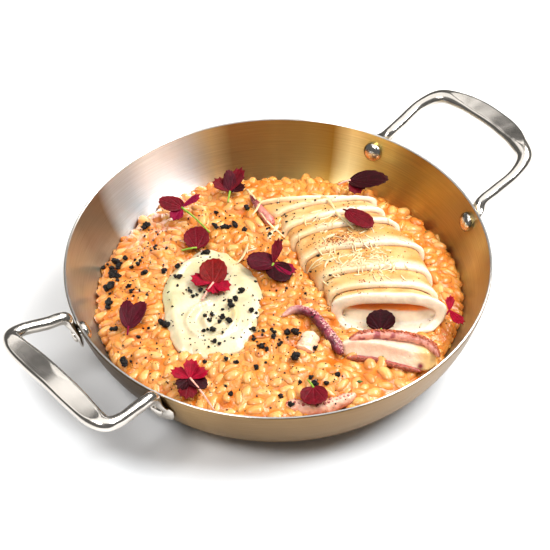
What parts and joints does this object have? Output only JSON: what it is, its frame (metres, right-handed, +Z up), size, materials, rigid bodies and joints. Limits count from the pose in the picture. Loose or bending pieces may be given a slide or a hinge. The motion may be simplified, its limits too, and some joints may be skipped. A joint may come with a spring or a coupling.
{
  "type": "squid risotto",
  "caption": "Risotto with a sliced stuffed squid tube, squid head and arms, cheese cream and red leaves, served in a round steel pan with riveted loop handles",
  "frame": {"origin": "centre of the pan's flat base, on the surface it stands on", "axes": "+X to the right-hand handle along the line of both handles, +Y to the dish's far left, +Z up"},
  "size_m": [0.3074, 0.22, 0.0554],
  "materials": {
    "pan_steel": "brushed in rings, soft sheen",
    "polished_steel": "polished",
    "rice": "wet rice grains in a glossy orange sauce",
    "cream": "thick glossy cheese cream",
    "squid_flesh": "moist cooked flesh, browned in places",
    "squid_skin": "moist skin with pale suckers",
    "red_leaf": "thin veined leaf"
  },
  "bodies": {
    "root": {"pan": "pan_steel", "handle_right": "polished_steel", "handle_left": "polished_steel", "rivet_right_far": "polished_steel", "rivet_right_near": "polished_steel", "rivet_left_far": "polished_steel", "rivet_left_near": "polished_steel", "risotto": "rice", "cheese_cream": "cream", "squid_slice_1": "squid_flesh", "squid_slice_2": "squid_flesh", "squid_slice_3": "squid_flesh", "squid_slice_4": "squid_flesh", "squid_slice_5": "squid_flesh", "squid_slice_6": "squid_flesh", "squid_slice_7": "squid_flesh", "squid_slice_8": "squid_flesh", "squid_head": "squid_flesh", "arm_upper": "squid_skin", "arm_lower": "squid_skin", "arm_curl": "squid_skin", "arm_back": "squid_skin", "arm_front": "squid_skin", "squid_morsel": "squid_flesh", "sprig_rim_left": "red_leaf", "sprig_rim_back": "red_leaf", "sprig_round": "red_leaf", "sprig_cream": "red_leaf", "sprig_centre": "red_leaf", "sprig_left": "red_leaf", "sprig_front": "red_leaf", "sprig_rim_front": "red_leaf", "sprig_mouth": "red_leaf", "sprig_top": "red_leaf", "sprig_rim_right": "red_leaf", "sprig_right": "red_leaf"}
  },
  "joints": []
}
